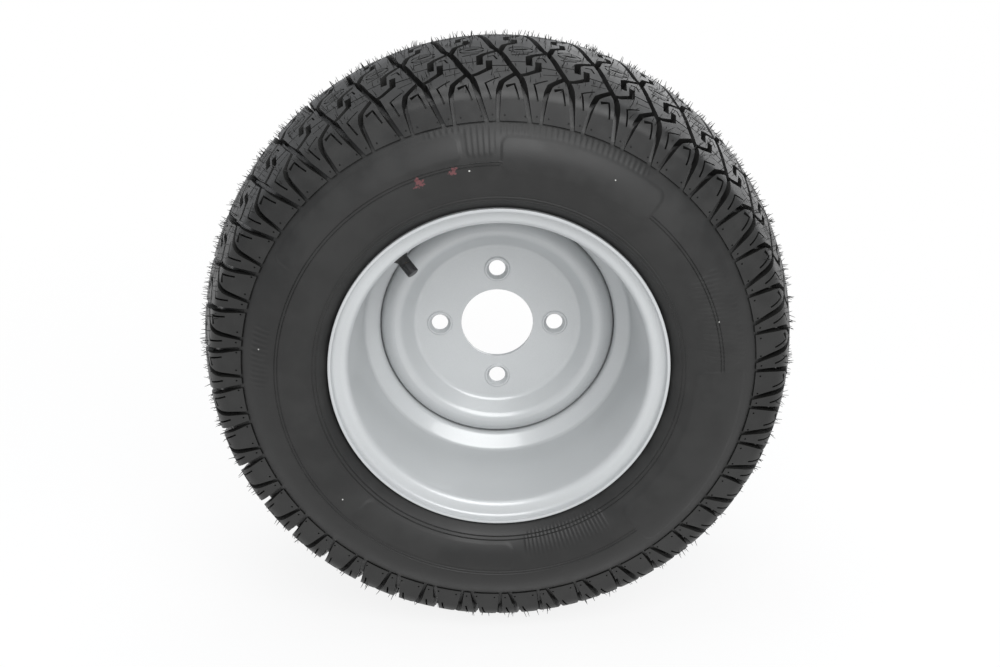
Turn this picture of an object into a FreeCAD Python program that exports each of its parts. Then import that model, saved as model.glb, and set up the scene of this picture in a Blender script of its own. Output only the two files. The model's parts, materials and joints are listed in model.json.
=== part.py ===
import FreeCAD, Part
import math
import os

V = FreeCAD.Vector
AXLE = V(0, 1, 0)
ORIGIN = V(0, 0, 0)

# Driving dimensions, in millimetres and degrees. The axle is the Y axis, the outer side faces -Y.

# Tyre
tyre_diameter = 503.5
crown_radius = 284.0
tread_half_width = 89.6
shoulder_radius = 15.7
flank_angle = 11.5
flank_length = 16.5
foot_step = 1.2
foot_drop = 0.5
section_width = 235.0
tread_depth = 8.0
under_tread = 7.0
sidewall_thickness = 8.5
wall_foot_rise = 6.5
wall_foot_reach = 3.5
bead_width = 21.0
bead_height = 14.7
bead_lean = 2.0
pitch_count = 40
tread_angle = -2.4

# Tread grooves
main_groove_width = 5.2
branch_groove_width = 4.6
foot_groove_width = 2.4
foot_groove_depth = 0.9
foot_groove_rise = 0.5
floor_inset = 2.0

# Rim barrel
bead_seat_diameter = 253.2
rim_width = 177.8
rim_wall = 2.6
flange_height = 13.0
flange_curl_radius = 8.6
flange_lip = 5.3
bead_seat_width = 23.0
bead_seat_taper = 5.0
heel_radius = 6.5
hump_radius = 5.0
well_diameter = 206.0
well_front = 30.0
well_rear = 44.0
well_bend_radius = 20.0

# Wheel disc
disc_thickness = 4.0
disc_inset = 8.3
hub_bore_diameter = 63.5
lug_circle = 101.6
lug_count = 4
lug_hole_diameter = 14.5
lug_seat_diameter = 19.0
lug_boss_diameter = 23.0
lug_boss_height = 1.0
lug_land = 1.6
disc_flat_radius = 73.0
disc_crest_radius = 86.0
disc_crest_rise = 14.0
disc_bend_radius = 6.0
disc_edge_radius = 13.0
disc_skirt = 36.0

# Stitch welds
weld_leg = 4.0
weld_count = 6
weld_angle = 34.0

# Valve
valve_angle = 133.5
valve_from_seat = 9.8
valve_hole_diameter = 11.5
valve_base_diameter = 17.0
valve_base_thickness = 3.2
valve_collar_diameter = 13.6
valve_collar_length = 1.1
valve_collar_taper = 2.4
stem_diameter = 10.0
stem_length = 8.6
insert_diameter = 6.4
insert_thread_diameter = 7.7
insert_thread_length = 7.6
insert_bore_diameter = 3.0
core_diameter = 5.0
core_length = 8.4
core_guide_length = 1.6
core_chamber_diameter = 3.2
core_recess = 0.8
spring_wire = 0.35
spring_turns = 5
pin_diameter = 1.6
pin_collar_diameter = 2.8
pin_collar_length = 0.6
pin_reach = 0.5
pin_travel = 1.2
seal_diameter = 4.2
seal_length = 2.2
pin_tail = 0.6
cap_diameter = 10.0
cap_top = 1.5
cap_rounding = 0.8
cap_rib_count = 12
cap_rib_depth = 0.35
cap_seal_thickness = 0.75
cap_seal_diameter = 7.5

# Clearances
running_clearance = 0.05
cap_gap = 0.3
seal_gap = 0.05

# Worked-out values
pitch_angle = 360.0 / pitch_count
tyre_radius = tyre_diameter / 2
flange_radius = bead_seat_diameter / 2 + flange_height
rim_half = rim_width / 2
well_radius = well_diameter / 2
disc_crest = disc_inset - disc_crest_rise
skirt_end = disc_crest + disc_skirt


def turned(shape, angle):
    """A copy turned about the axle, with positive angles from +X towards +Z."""
    copy = shape.copy()
    copy.rotate(ORIGIN, AXLE, -angle)
    return copy


def revolved(face, angle=360.0):
    return face.revolve(ORIGIN, AXLE, angle)


def face_of(edges):
    return Part.Face(Part.Wire(Part.__sortEdges__(edges)))


def polyline(points):
    pairs = zip(points, points[1:])
    return [Part.makeLine(a, b) for a, b in pairs if a.distanceToPoint(b) > 1e-6]


def rounded_path(points, radii):
    """Edges of an open path whose inner corners are rounded by the given radii."""
    edges = []
    start = points[0]
    for before, corner, after, radius in zip(points, points[1:], points[2:], radii):
        back = (before - corner).normalize()
        ahead = (after - corner).normalize()
        half = back.getAngle(ahead) / 2
        reach = radius / math.tan(half)
        middle = (back + ahead).normalize()
        centre = corner + middle * (radius / math.sin(half))
        first = corner + back * reach
        last = corner + ahead * reach
        edges.append(Part.makeLine(start, first))
        edges.append(Part.Arc(first, centre - middle * radius, last).toShape())
        start = last
    edges.append(Part.makeLine(start, points[-1]))
    return edges


def left_of(a, b):
    along = (b - a).normalize()
    return V(-along.y, along.x, 0)


def offset_path(points, radii, distance):
    """The same path moved to its left by a distance, with its radii changed to match."""
    normals = [left_of(a, b) for a, b in zip(points, points[1:])]
    moved = [points[0] + normals[0] * distance]
    new_radii = []
    inner = zip(points[1:-1], normals, normals[1:], radii)
    for corner, before, after, radius in inner:
        middle = before + after
        moved.append(corner + middle * (2 * distance / middle.dot(middle)))
        turn = before.x * after.y - before.y * after.x
        new_radii.append(radius - distance * math.copysign(1, turn))
    moved.append(points[-1] + normals[-1] * distance)
    return moved, new_radii


def sheet(points, radii, wall):
    """Face of a sheet-metal section: a rounded path and its copy one wall to the left."""
    other, other_radii = offset_path(points, radii, wall)
    edges = rounded_path(points, radii) + rounded_path(other, other_radii)
    edges.append(Part.makeLine(points[0], other[0]))
    edges.append(Part.makeLine(points[-1], other[-1]))
    return face_of(edges)


def seat_radius(distance_from_centre):
    """Radius of the tapered bead seat on the tyre's side."""
    fall = (rim_half - distance_from_centre) * math.tan(math.radians(bead_seat_taper))
    return bead_seat_diameter / 2 - fall


# Rim barrel

seat_inner = rim_half - bead_seat_width
seat_back = rim_wall / math.cos(math.radians(bead_seat_taper))
outer_face = rim_half + rim_wall
lip_end = rim_half + flange_curl_radius + flange_lip
slope_foot = V(well_radius, -well_front, 0)
slope_head = V(seat_radius(seat_inner) - seat_back, -seat_inner, 0)


def barrel_half(side, well_end):
    """Points and radii of the visible surface, from the lip to the drop centre, on one side."""
    points = [
        V(flange_radius - rim_wall, side * lip_end, 0),
        V(flange_radius - rim_wall, side * outer_face, 0),
        V(seat_radius(outer_face) - seat_back, side * outer_face, 0),
        V(seat_radius(seat_inner) - seat_back, side * seat_inner, 0),
        V(well_radius, side * well_end, 0),
    ]
    radii = [flange_curl_radius - rim_wall, heel_radius + rim_wall, hump_radius, well_bend_radius]
    return points, radii


def valve_placement():
    """Valve frame: origin on the visible side of the sloping well wall, Z towards the viewer."""
    along = (slope_foot - slope_head).normalize()
    base = slope_head + along * valve_from_seat
    outward = V(-along.y, along.x, 0)
    return FreeCAD.Placement(base, FreeCAD.Rotation(V(0, 0, 1), outward))


def on_valve(shape):
    copy = shape.copy()
    copy.Placement = valve_placement().multiply(shape.Placement)
    return turned(copy, valve_angle)


def tube(outer, inner, low, high):
    body = Part.makeCylinder(outer / 2, high - low, V(0, 0, low))
    return body.cut(Part.makeCylinder(inner / 2, high - low, V(0, 0, low)))


def make_barrel():
    front, front_radii = barrel_half(-1, well_front)
    rear, rear_radii = barrel_half(1, well_rear)
    points = front + rear[::-1]
    radii = front_radii + rear_radii[::-1]
    barrel = revolved(sheet(points, radii, -rim_wall))
    hole = Part.makeCylinder(valve_hole_diameter / 2, 8 * rim_wall, V(0, 0, -4 * rim_wall))
    return barrel.cut(on_valve(hole))


# Wheel disc

def lug_places():
    step = 360.0 / lug_count
    return [90 + index * step for index in range(lug_count)]


def at_lug(shape, angle):
    """Moves a shape made about the axle onto the lug circle."""
    copy = shape.copy()
    copy.translate(V(lug_circle / 2, 0, 0))
    return turned(copy, angle)


def make_disc():
    points = [
        V(hub_bore_diameter / 2, disc_inset, 0),
        V(disc_flat_radius, disc_inset, 0),
        V(disc_crest_radius, disc_crest, 0),
        V(well_radius, disc_crest, 0),
        V(well_radius, skirt_end, 0),
    ]
    radii = [disc_bend_radius, disc_bend_radius + disc_thickness, disc_edge_radius]
    disc = revolved(sheet(points, radii, disc_thickness))
    boss_top = lug_boss_diameter / 2 - lug_boss_height
    boss = Part.makeCone(lug_boss_diameter / 2, boss_top, lug_boss_height, V(0, disc_inset, 0), -AXLE)
    hole_start = V(0, disc_inset - disc_thickness, 0)
    hole = Part.makeCylinder(lug_hole_diameter / 2, 4 * disc_thickness, hole_start, AXLE)
    seat_depth = disc_thickness + lug_boss_height - lug_land
    seat_start = V(0, disc_inset - lug_boss_height, 0)
    seat = Part.makeCone(lug_seat_diameter / 2, lug_hole_diameter / 2, seat_depth, seat_start, AXLE)
    disc = disc.fuse([at_lug(boss, angle) for angle in lug_places()])
    return disc.cut([at_lug(tool, angle) for tool in (hole, seat) for angle in lug_places()])


def make_welds():
    corner = V(well_radius, skirt_end, 0)
    along_barrel = corner + AXLE * weld_leg
    along_edge = corner - V(disc_thickness, 0, 0)
    bead = revolved(face_of(polyline([corner, along_barrel, along_edge, corner])), weld_angle)
    step = 360.0 / weld_count
    return Part.makeCompound([turned(bead, index * step) for index in range(weld_count)])


# Tyre

def crown_at(distance, depth=0.0):
    """Radius of the crown, or of a surface below it, at a distance from the centre plane."""
    arc = crown_radius - depth
    return tyre_radius - depth - (arc - math.sqrt(arc * arc - distance * distance))


edge_radius = crown_at(tread_half_width)
edge_tilt = math.asin(tread_half_width / crown_radius)
edge_normal = V(math.cos(edge_tilt), math.sin(edge_tilt), 0)
shoulder_centre = V(edge_radius, tread_half_width, 0) - edge_normal * shoulder_radius
flank_turn = math.radians(90 - flank_angle)
flank_top = shoulder_centre + V(math.cos(flank_turn), math.sin(flank_turn), 0) * shoulder_radius
foot = flank_top + V(-math.sin(flank_turn), math.cos(flank_turn), 0) * flank_length
wall_top = foot + V(-foot_drop, -foot_step, 0)
floor_edge = tread_half_width - floor_inset
floor_foot = foot + V(foot_groove_rise, -foot_groove_depth, 0)


def mirrored(points):
    return [V(point.x, -point.y, 0) for point in reversed(points)]


def arc_through(a, b, c):
    return Part.Arc(a, b, c).toShape()


def both_sides(edges):
    flipped = [edge.mirror(ORIGIN, AXLE) for edge in edges]
    return edges + flipped


def outer_edges():
    """One half of the outside: shoulder, flank, foot, sidewall and the curve into the flange."""
    mid_turn = (edge_tilt + flank_turn) / 2
    shoulder_mid = shoulder_centre + V(math.cos(mid_turn), math.sin(mid_turn), 0) * shoulder_radius
    bulge = V((foot.x + flange_radius) / 2, section_width / 2, 0)
    wall_foot = V(flange_radius + wall_foot_rise, lip_end + wall_foot_reach, 0)
    curl_top = V(flange_radius, rim_half + flange_curl_radius, 0)
    curl_centre = V(flange_radius - flange_curl_radius, rim_half + flange_curl_radius, 0)
    curl_mid = curl_centre + V(1, -1, 0).normalize() * flange_curl_radius
    curl_foot = V(flange_radius - flange_curl_radius, rim_half, 0)
    return [
        arc_through(V(edge_radius, tread_half_width, 0), shoulder_mid, flank_top),
        Part.makeLine(flank_top, foot),
        Part.makeLine(foot, wall_top),
        arc_through(wall_top, bulge, wall_foot),
        Part.makeLine(wall_foot, curl_top),
        arc_through(curl_top, curl_mid, curl_foot),
    ]


def bead_edges():
    """One half of the bead: face on the flange, heel, tapered base, toe."""
    toe_place = rim_half - bead_width
    toe = V(seat_radius(toe_place), toe_place, 0)
    corner = V(seat_radius(rim_half), rim_half, 0)
    top = V(flange_radius - flange_curl_radius, rim_half, 0)
    inside = toe + V(bead_height, bead_lean, 0)
    return rounded_path([top, corner, toe], [heel_radius]) + [Part.makeLine(toe, inside)], inside


def liner_edge(start):
    """The air side, a smooth curve from bead to bead under the sidewalls and the crown."""
    bulge_radius = (foot.x + flange_radius) / 2
    liner_depth = tread_depth + under_tread
    half = [
        start,
        V(flange_radius + sidewall_thickness, lip_end - sidewall_thickness, 0),
        V(bulge_radius, section_width / 2 - sidewall_thickness, 0),
        V(foot.x, foot.y - sidewall_thickness, 0),
        V(crown_at(tread_half_width / 2, liner_depth), tread_half_width / 2, 0),
    ]
    middle = V(tyre_radius - liner_depth, 0, 0)
    curve = Part.BSplineCurve()
    curve.interpolate(half + [middle] + mirrored(half))
    return curve.toShape()


def tyre_section():
    crown_edge = V(edge_radius, tread_half_width, 0)
    crown = arc_through(crown_edge, V(tyre_radius, 0, 0), V(edge_radius, -tread_half_width, 0))
    bead, inside = bead_edges()
    return face_of([crown, liner_edge(inside)] + both_sides(outer_edges() + bead))


def groove_zone():
    """Section of everything outside the groove floors: cutters reach no deeper than this."""
    floor_bend = V(crown_at(floor_edge / 2, tread_depth), floor_edge / 2, 0)
    floor_corner = V(crown_at(floor_edge, tread_depth), floor_edge, 0)
    margin = 2 * tread_depth
    below = V(floor_foot.x, foot.y + margin, 0)
    above = V(tyre_radius + margin, foot.y + margin, 0)
    half = polyline([floor_bend, floor_corner, floor_foot, below, above])
    floor = Part.makeLine(floor_bend, V(floor_bend.x, -floor_bend.y, 0))
    roof = Part.makeLine(above, V(above.x, -above.y, 0))
    return face_of([floor, roof] + both_sides(half))


def strip(path, widths):
    """Closed outline of a groove: each point of a path spread to both sides by half its width."""
    left = []
    right = []
    for index, (point, width) in enumerate(zip(path, widths)):
        before = path[max(index - 1, 0)]
        after = path[min(index + 1, len(path) - 1)]
        side = left_of(before, after) * (width / 2)
        left.append(point + side)
        right.append(point - side)
    outline = left + right[::-1]
    return outline + outline[:1]


def crown_groove(path, width):
    """Cutter seen from above the tread. Points are in pitches round and half widths towards the viewer."""
    pitch_length = math.radians(pitch_angle) * tyre_radius
    plan = [V(around * pitch_length, -across * tread_half_width, 0) for around, across in path]
    shift = (plan[0].x + plan[-1].x) / 2
    centred = [point - V(shift, 0, 0) for point in plan]
    face = Part.Face(Part.makePolygon(strip(centred, [width] * len(path))))
    face.translate(V(0, 0, foot.x))
    block = face.extrude(V(0, 0, tyre_radius - foot.x + tread_depth))
    return turned(block, -math.degrees(shift / tyre_radius))


def flank_groove(path, start_width, end_width):
    """Cutter seen from the side. Points are in pitches round and shares of the drop from edge to foot."""
    drop = edge_radius - foot.x
    outline = []
    for around, down in path:
        angle = math.radians(around * pitch_angle)
        radius = edge_radius - down * drop
        outline.append(V(radius * math.sin(angle), radius * math.cos(angle), 0))
    last = len(path) - 1
    widths = [start_width + (end_width - start_width) * index / last for index in range(last + 1)]
    face = Part.Face(Part.makePolygon(strip(outline, widths)))
    face.rotate(ORIGIN, V(1, 0, 0), 90)
    reach = foot.y + tread_depth
    face.translate(V(0, -reach, 0))
    return face.extrude(V(0, reach - floor_edge, 0))


def half_turned(shape):
    """The same groove on the other half of the tread, which is the first half turned end for end."""
    copy = shape.copy()
    copy.rotate(ORIGIN, V(0, 0, 1), 180)
    return copy


def groove_tools():
    """Cutters of one pitch, with the turning point of the pattern at the top of the crown."""
    half_main = [(-0.127, 0.536), (0.262, 1.03)]
    rear_main = [(-1 - around, -across) for around, across in reversed(half_main)]
    main = crown_groove(rear_main + half_main, main_groove_width)
    halves = [
        crown_groove([(-0.25, 0.39), (-0.573, 0.502), (-0.606, 0.714)], branch_groove_width),
        crown_groove([(-0.458, 0.636), (-0.47, 0.815), (-0.83, 0.935)], branch_groove_width),
        crown_groove([(0.082, -0.022), (0.082, 0.15), (-0.2, 0.38)], branch_groove_width),
        crown_groove([(0.13, 0.88), (-0.2, 1.04)], main_groove_width),
        flank_groove([(0.24, -0.02), (0.51, 1.02)], main_groove_width, foot_groove_width),
        flank_groove([(-0.2, -0.02), (-0.28, 1.02)], main_groove_width, foot_groove_width),
    ]
    return [main] + halves + [half_turned(tool) for tool in halves]


def one_pitch():
    """A slice of the tyre one pitch wide, centred on the top, with its share of every groove."""
    upright = 90 - pitch_angle / 2
    sliced = turned(revolved(tyre_section(), -pitch_angle), upright)
    zone = turned(revolved(groove_zone(), -3 * pitch_angle), 90 - 1.5 * pitch_angle)
    tools = [turned(tool, -step * pitch_angle) for tool in groove_tools() for step in (-1, 0, 1, 2)]
    cutters = []
    for tool in tools:
        cutter = zone.common(tool)
        if cutter.Volume > 1e-3:
            cutters.append(cutter)
    return sliced.cut(cutters)


def lies_on_cut(face):
    """True for the two flat faces where a slice meets its neighbours."""
    for side in (-1, 1):
        angle = math.radians(side * pitch_angle / 2)
        normal = V(math.cos(angle), 0, -math.sin(angle))
        if all(abs(vertex.Point.dot(normal)) < 1e-5 for vertex in face.Vertexes):
            return True
    return False


def make_tyre():
    skin = [face for face in one_pitch().Faces if not lies_on_cut(face)]
    ring = Part.makeCompound(
        [turned(face, index * pitch_angle) for index in range(pitch_count) for face in skin]
    )
    ring.sewShape()
    whole = Part.makeSolid(ring.Shells[0]).removeSplitter()
    return turned(whole, tread_angle)


# Valve

insert_end = stem_length + insert_thread_length
core_top = insert_end - core_recess
core_bottom = core_top - core_length
seal_top = core_bottom - seal_gap
pin_bottom = seal_top - seal_length - pin_tail
chamber_bottom = pin_bottom - pin_travel - pin_tail
base_bottom = -rim_wall - valve_base_thickness
spring_low = core_bottom + core_guide_length
pin_collar_top = core_top - core_guide_length - seal_gap
pin_collar_low = pin_collar_top - pin_collar_length
cap_mouth = stem_length + cap_gap
cap_seal_low = insert_end + seal_gap
cap_ceiling = cap_seal_low + cap_seal_thickness
cap_end = cap_ceiling + cap_top
cap_bore_diameter = insert_thread_diameter + 2 * running_clearance


def make_stem(barrel):
    outline = [
        V(0, base_bottom, 0),
        V(valve_base_diameter / 2, base_bottom, 0),
        V(valve_base_diameter / 2, -rim_wall, 0),
        V(valve_hole_diameter / 2, -rim_wall, 0),
        V(valve_hole_diameter / 2, 0, 0),
        V(valve_collar_diameter / 2, 0, 0),
        V(valve_collar_diameter / 2, valve_collar_length, 0),
        V(stem_diameter / 2, valve_collar_length + valve_collar_taper, 0),
        V(stem_diameter / 2, stem_length, 0),
        V(0, stem_length, 0),
        V(0, base_bottom, 0),
    ]
    body = face_of(polyline(outline)).revolve(ORIGIN, AXLE, 360)
    body.rotate(ORIGIN, V(1, 0, 0), 90)
    body = body.cut(Part.makeCylinder(insert_diameter / 2, stem_length - base_bottom, V(0, 0, base_bottom)))
    return on_valve(body).cut(barrel)


def make_insert():
    shank = Part.makeCylinder(insert_diameter / 2, stem_length - base_bottom, V(0, 0, base_bottom))
    thread = Part.makeCylinder(insert_thread_diameter / 2, insert_thread_length, V(0, 0, stem_length))
    bore = Part.makeCylinder(insert_bore_diameter / 2, insert_end - base_bottom, V(0, 0, base_bottom))
    chamber = Part.makeCylinder(core_diameter / 2, insert_end - chamber_bottom, V(0, 0, chamber_bottom))
    return on_valve(shank.fuse(thread).cut([bore, chamber]))


def make_core():
    guide = pin_diameter + 2 * running_clearance
    body = tube(core_diameter, guide, core_bottom, core_top)
    chamber_height = core_length - 2 * core_guide_length
    chamber = Part.makeCylinder(core_chamber_diameter / 2, chamber_height, V(0, 0, spring_low))
    return on_valve(body.cut(chamber))


def make_pin():
    pin = Part.makeCylinder(pin_diameter / 2, core_top + pin_reach - pin_bottom, V(0, 0, pin_bottom))
    collar = Part.makeCylinder(pin_collar_diameter / 2, pin_collar_length, V(0, 0, pin_collar_low))
    return on_valve(pin.fuse(collar))


def make_spring():
    """Coil round the pin, from the floor of the core's chamber to the pin's collar."""
    coil_radius = (pin_diameter + core_chamber_diameter) / 4
    height = pin_collar_low - spring_low - spring_wire
    coil = Part.makeHelix(height / spring_turns, height, coil_radius)
    corner = V(spring_wire / 2, 0, 0)
    section = [FreeCAD.Rotation(AXLE, 60 * index).multVec(corner) for index in range(7)]
    wire = Part.makePolygon([V(coil_radius, 0, 0) + point for point in section])
    spring = Part.Wire(coil).makePipeShell([wire], True, True)
    spring.translate(V(0, 0, spring_low + spring_wire / 2))
    return on_valve(spring)


def make_core_seal():
    return on_valve(tube(seal_diameter, pin_diameter, seal_top - seal_length, seal_top))


def make_cap():
    cap = Part.makeCylinder(cap_diameter / 2, cap_end - cap_mouth, V(0, 0, cap_mouth))
    top = [edge for edge in cap.Edges if edge.BoundBox.ZMin > cap_end - 1e-6]
    cap = cap.makeFillet(cap_rounding, top)
    cap = cap.cut(Part.makeCylinder(cap_bore_diameter / 2, cap_ceiling - cap_mouth, V(0, 0, cap_mouth)))
    flute = Part.makeCylinder(cap_rib_depth, cap_ceiling - cap_mouth, V(cap_diameter / 2, 0, cap_mouth))
    flutes = []
    for index in range(cap_rib_count):
        copy = flute.copy()
        copy.rotate(ORIGIN, V(0, 0, 1), index * 360.0 / cap_rib_count)
        flutes.append(copy)
    return on_valve(cap.cut(flutes))


def make_cap_seal():
    return on_valve(Part.makeCylinder(cap_seal_diameter / 2, cap_seal_thickness, V(0, 0, cap_seal_low)))


def main():
    os.makedirs("parts", exist_ok=True)
    barrel = make_barrel()
    nodes = {
        "tyre": make_tyre(),
        "rim_barrel": barrel,
        "wheel_disc": make_disc(),
        "disc_welds": make_welds(),
        "valve_stem": make_stem(barrel),
        "valve_insert": make_insert(),
        "valve_core_body": make_core(),
        "valve_core_pin": make_pin(),
        "valve_core_spring": make_spring(),
        "valve_core_seal": make_core_seal(),
        "valve_cap": make_cap(),
        "valve_cap_seal": make_cap_seal(),
    }
    for name, shape in nodes.items():
        shape.exportStep(os.path.join("parts", name + ".step"))


main()
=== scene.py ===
import json
import math
import random

import bmesh
import bpy
from bpy.props import FloatProperty, FloatVectorProperty, IntProperty, PointerProperty
from mathutils import Matrix, Vector

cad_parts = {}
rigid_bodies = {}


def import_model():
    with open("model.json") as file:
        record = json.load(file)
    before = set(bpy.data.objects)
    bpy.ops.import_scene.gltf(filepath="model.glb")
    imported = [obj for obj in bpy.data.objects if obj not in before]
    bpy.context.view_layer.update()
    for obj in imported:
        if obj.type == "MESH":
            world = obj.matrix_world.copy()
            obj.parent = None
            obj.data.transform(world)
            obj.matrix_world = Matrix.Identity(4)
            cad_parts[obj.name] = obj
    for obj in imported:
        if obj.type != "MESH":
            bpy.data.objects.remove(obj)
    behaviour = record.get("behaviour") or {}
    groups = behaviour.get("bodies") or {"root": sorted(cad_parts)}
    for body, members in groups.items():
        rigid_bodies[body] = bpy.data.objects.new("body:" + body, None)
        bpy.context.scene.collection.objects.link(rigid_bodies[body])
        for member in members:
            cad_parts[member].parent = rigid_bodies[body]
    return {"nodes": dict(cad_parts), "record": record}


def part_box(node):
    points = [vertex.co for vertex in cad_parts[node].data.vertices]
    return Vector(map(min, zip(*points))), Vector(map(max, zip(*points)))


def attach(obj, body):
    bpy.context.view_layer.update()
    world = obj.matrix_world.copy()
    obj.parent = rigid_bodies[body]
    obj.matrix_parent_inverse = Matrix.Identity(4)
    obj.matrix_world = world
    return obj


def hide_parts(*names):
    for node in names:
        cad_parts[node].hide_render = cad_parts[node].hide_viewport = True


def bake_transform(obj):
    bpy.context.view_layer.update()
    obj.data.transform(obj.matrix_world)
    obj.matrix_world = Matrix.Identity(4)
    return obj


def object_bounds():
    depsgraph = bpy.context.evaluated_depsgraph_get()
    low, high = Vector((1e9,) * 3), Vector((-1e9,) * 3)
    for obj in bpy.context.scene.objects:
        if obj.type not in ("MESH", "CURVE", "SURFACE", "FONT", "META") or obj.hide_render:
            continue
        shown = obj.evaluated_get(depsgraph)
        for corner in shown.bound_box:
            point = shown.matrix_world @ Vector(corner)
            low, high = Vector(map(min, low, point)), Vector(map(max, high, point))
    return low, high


bl_info = {
    "name": "Utility wheel",
    "version": (1, 0, 0),
    "blender": (4, 5, 0),
    "location": "View3D > Sidebar > Wheel",
    "description": "Models the tyre, barrel and valve spring of a utility wheel and finishes the rest",
    "category": "Object",
}

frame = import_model()
CAD_BOX = [list(corner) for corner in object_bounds()]
MM = 0.001
WELD = 0.01 * MM
TYRE_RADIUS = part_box("tyre")[1].z
SECTION_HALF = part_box("tyre")[1].y
LIP_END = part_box("rim_barrel")[1].y
FLANGE_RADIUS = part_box("rim_barrel")[1].z


class TreadSettings(bpy.types.PropertyGroup):
    """Sizes of the tread pattern."""

    pitch_count: IntProperty(name="Pitches", description="Repeats of the pattern round the tyre", default=40)
    turn: FloatProperty(
        name="Turn", description="Angle of the first pitch from the top",
        default=math.radians(-2.35), subtype="ANGLE",
    )
    rolling_radius: FloatProperty(
        name="Pattern radius", description="Radius at which the flat pattern is true to size",
        default=0.25, unit="LENGTH",
    )
    depth: FloatProperty(
        name="Groove depth", description="Depth of the grooves", default=0.008, unit="LENGTH"
    )
    draft: FloatProperty(name="Draft", description="Floor width over top width of a groove", default=0.72)
    edge_round: FloatProperty(
        name="Edge rounding", description="Rounding of the block edges", default=0.0006, unit="LENGTH"
    )
    sipe_depth: FloatProperty(
        name="Sipe depth", description="Depth of the thin slits", default=0.0042, unit="LENGTH"
    )
    base: FloatProperty(
        name="Base", description="Thickness of the tread with its base", default=0.012, unit="LENGTH"
    )


class CasingSettings(bpy.types.PropertyGroup):
    """Sizes of the sidewalls."""

    rib_count: IntProperty(name="Ribs", description="Fine radial ribs round a sidewall", default=280)
    rib_height: FloatProperty(
        name="Rib height", description="Height of a fine rib", default=0.0005, unit="LENGTH"
    )
    steps_per_rib: IntProperty(name="Steps", description="Mesh steps for each rib", default=4)


class WhiskerSettings(bpy.types.PropertyGroup):
    """Rubber hairs that the mould's vents leave on the tread."""

    length: FloatProperty(name="Length", description="Usual length of a hair", default=0.0042, unit="LENGTH")
    thickness: FloatProperty(
        name="Thickness", description="Diameter at the root", default=0.0008, unit="LENGTH"
    )
    seed: IntProperty(name="Seed", description="Start of the scatter", default=11)


class RimSettings(bpy.types.PropertyGroup):
    """Sizes of the rolled barrel."""

    wall: FloatProperty(name="Wall", description="Thickness of the steel", default=0.0026, unit="LENGTH")
    lip_round: FloatProperty(
        name="Lip rounding", description="Rounding of the lip's edges", default=0.0008, unit="LENGTH"
    )
    steps: IntProperty(name="Steps", description="Mesh steps round the barrel", default=240)


class FinishSettings(bpy.types.PropertyGroup):
    """Colours of the finishes."""

    rubber: FloatVectorProperty(
        name="Rubber", description="Colour of the tyre's rubber", subtype="COLOR",
        default=(0.0145, 0.0145, 0.0140),
    )
    paint: FloatVectorProperty(
        name="Paint", description="Colour of the wheel's paint", subtype="COLOR", default=(0.525, 0.54, 0.545)
    )
    mark: FloatVectorProperty(
        name="Mark", description="Colour of the worn paint marks on the sidewall", subtype="COLOR",
        default=(0.17, 0.055, 0.06),
    )


class StageSettings(bpy.types.PropertyGroup):
    """Camera and light."""

    distance: FloatProperty(
        name="Distance", description="Camera to the wheel's centre", default=1.2252, unit="LENGTH"
    )
    elevation: FloatProperty(
        name="Elevation", description="Camera above the horizon", default=math.radians(21.9), subtype="ANGLE"
    )
    azimuth: FloatProperty(
        name="Azimuth", description="Camera round the wheel", default=math.radians(-0.84), subtype="ANGLE"
    )
    lens: FloatProperty(name="Lens", description="Focal length in millimetres", default=50.0)
    shift_right: FloatProperty(name="Shift X", description="Lens shift to the right", default=0.00265)
    shift_up: FloatProperty(name="Shift Y", description="Lens shift upwards", default=-0.00717)


class WheelSettings(bpy.types.PropertyGroup):
    """All settings of the wheel."""

    tread: PointerProperty(type=TreadSettings)
    casing: PointerProperty(type=CasingSettings)
    whiskers: PointerProperty(type=WhiskerSettings)
    rim: PointerProperty(type=RimSettings)
    finish: PointerProperty(type=FinishSettings)
    stage: PointerProperty(type=StageSettings)


def settings():
    return bpy.context.scene.wheel


# Small helpers for modelling

def deselect():
    bpy.ops.object.select_all(action="DESELECT")


def activate(piece):
    deselect()
    piece.select_set(True)
    bpy.context.view_layer.objects.active = piece


def edit(piece):
    activate(piece)
    bpy.ops.object.mode_set(mode="EDIT")
    bpy.ops.mesh.select_all(action="SELECT")


def leave_edit():
    bpy.ops.object.mode_set(mode="OBJECT")


def apply(modifier):
    bpy.ops.object.modifier_apply(modifier=modifier.name)


def agree_normals(piece):
    edit(piece)
    bpy.ops.mesh.normals_make_consistent(inside=False)
    leave_edit()


def turn_section(piece, steps):
    """Turns a drawn section all the way round the axle."""
    turn = piece.modifiers.new("turn", "SCREW")
    turn.axis = "Y"
    turn.steps = steps
    turn.render_steps = steps
    turn.use_merge_vertices = True
    turn.merge_threshold = WELD
    apply(turn)
    agree_normals(piece)


def repeat_round(piece, angle, count, weld=None):
    """Repeats a piece round the axle, and welds the copies where they meet if a distance for it is given."""
    deselect()
    bpy.ops.object.empty_add(location=(0, 0, 0))
    turner = bpy.context.object
    turner.rotation_euler.y = angle
    activate(piece)
    around = piece.modifiers.new("around", "ARRAY")
    around.use_relative_offset = False
    around.use_object_offset = True
    around.offset_object = turner
    around.count = count
    if weld is not None:
        around.use_merge_vertices = True
        around.use_merge_vertices_cap = True
        around.merge_threshold = weld
    apply(around)
    bpy.data.objects.remove(turner)


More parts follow.
